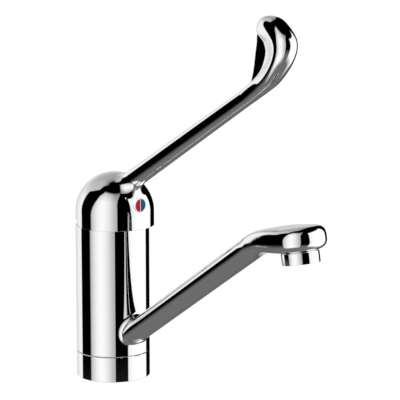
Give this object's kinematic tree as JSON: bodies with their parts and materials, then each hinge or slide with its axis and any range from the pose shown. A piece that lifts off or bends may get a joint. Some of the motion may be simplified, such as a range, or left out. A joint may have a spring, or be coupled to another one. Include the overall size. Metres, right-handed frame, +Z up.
{
  "type": "lever mixer tap",
  "caption": "Chrome single-lever basin mixer with a long upturned elbow lever, a swivelling rising spout and a round outlet",
  "frame": {"origin": "centre of the foot's underside, on the worktop", "axes": "+Z up along the column, +X the way the spout and the lever point, +Y to complete a right-handed frame"},
  "size_m": [0.2205, 0.0532, 0.2543],
  "materials": {
    "chrome_shell": "polished chrome plate on brass",
    "brass_core": "turned brass, uncoated",
    "rubber_seal": "matt black rubber",
    "white_plastic": "moulded acetal",
    "ceramic": "ground and polished alumina",
    "steel": "turned stainless steel",
    "plug_shell": "smooth bright plastic",
    "hot_red": "smooth red enamel",
    "cold_blue": "smooth blue enamel"
  },
  "bodies": {
    "root": {"base_ring": "chrome_shell", "base_gasket": "rubber_seal", "inner_body": "brass_core", "lower_glide_ring": "white_plastic", "upper_glide_ring": "white_plastic", "lower_swivel_seal": "rubber_seal", "upper_swivel_seal": "rubber_seal", "swivel_stop_pin": "steel", "swivel_nut": "brass_core", "cartridge_housing": "white_plastic", "cartridge_base": "white_plastic", "port_seals": "rubber_seal", "fixed_disc": "ceramic", "cartridge_nut": "brass_core", "neck_cover": "chrome_shell"},
    "spout": {"spout_body": "chrome_shell", "aerator_housing": "chrome_shell", "aerator_gasket": "rubber_seal", "aerator_insert": "white_plastic", "aerator_screen": "steel"},
    "stem": {"stem_holder": "white_plastic", "stem_pin": "steel"},
    "disc": {"moving_disc": "ceramic", "disc_carrier": "white_plastic"},
    "lever": {"spindle": "steel", "lever_handle": "chrome_shell", "grub_screw": "steel", "indicator_plug": "plug_shell", "hot_mark": "hot_red", "cold_mark": "cold_blue"}
  },
  "joints": [
    {"name": "spout_swivel", "type": "hinge", "parent": "root", "child": "spout", "pos_m": [0, 0, 0.0175], "axis": [0, 0, 1], "range_deg": [-60, 60]},
    {"name": "lever_turn", "type": "hinge", "parent": "root", "child": "stem", "pos_m": [0, 0, 0.108], "axis": [0, 0, 1], "range_deg": [-45, 45]},
    {"name": "lever_lift", "type": "hinge", "parent": "stem", "child": "lever", "pos_m": [0, 0, 0.108], "axis": [0, -1, 0], "range_deg": [0, 22]},
    {"name": "disc_slide", "type": "slide", "parent": "stem", "child": "disc", "axis": [1, 0, 0], "range_m": [0, 0.0045]}
  ],
  "couplings": [
    {"joint": "disc_slide", "follows": "lever_lift", "m_per_rad": 0.01151}
  ]
}
